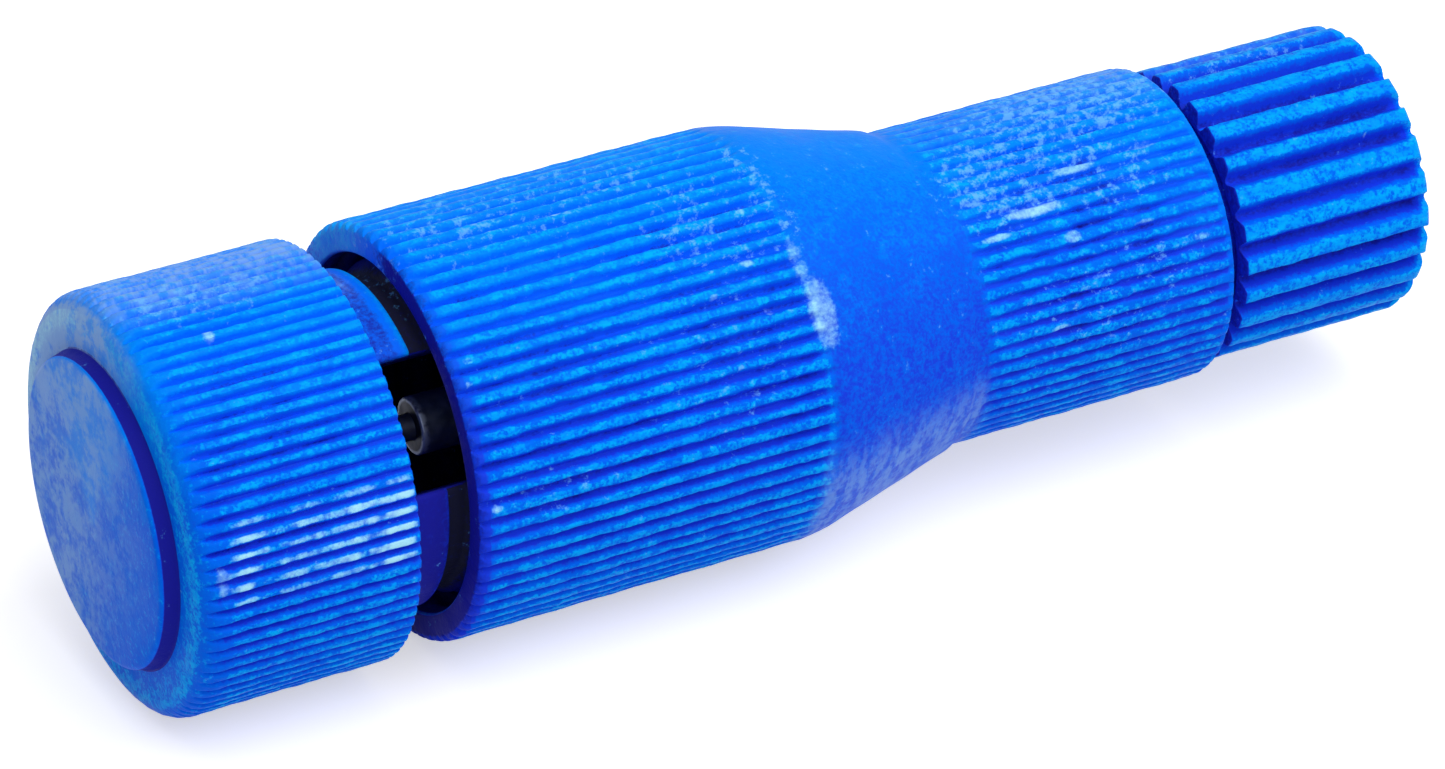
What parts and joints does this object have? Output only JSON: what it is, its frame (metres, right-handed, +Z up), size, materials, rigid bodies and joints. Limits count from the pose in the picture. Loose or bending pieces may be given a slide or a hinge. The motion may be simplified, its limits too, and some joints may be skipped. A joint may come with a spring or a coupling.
{
  "type": "wire tap connector",
  "caption": "Small screw-on wire tap: slotted knurled cap over a run wire, necked body with a piercing metal core, ribbed cap that clamps the tap wire.",
  "frame": {"origin": "under the middle of the connector's length, on the surface that it lies on", "axes": "+X along the connector from the tap cap to the wire cap, +Z up"},
  "size_m": [0.0438, 0.013, 0.013],
  "materials": {
    "blue_plastic": "moulded, worn satin with pale scuffs",
    "plated_metal": "dull grey plating"
  },
  "bodies": {
    "connector_body": {"body": "blue_plastic", "contact_core": "plated_metal"},
    "tap_cap": {"tap_cap": "blue_plastic"},
    "wire_cap": {"wire_cap": "blue_plastic"}
  },
  "joints": [
    {"name": "tap_cap_travel", "type": "slide", "parent": "connector_body", "child": "tap_cap", "axis": [-1, 0, 0], "range_m": [-0.0019, 0.0052]},
    {"name": "wire_cap_travel", "type": "slide", "parent": "connector_body", "child": "wire_cap", "axis": [1, 0, 0], "range_m": [-0.0005, 0.0034]}
  ]
}
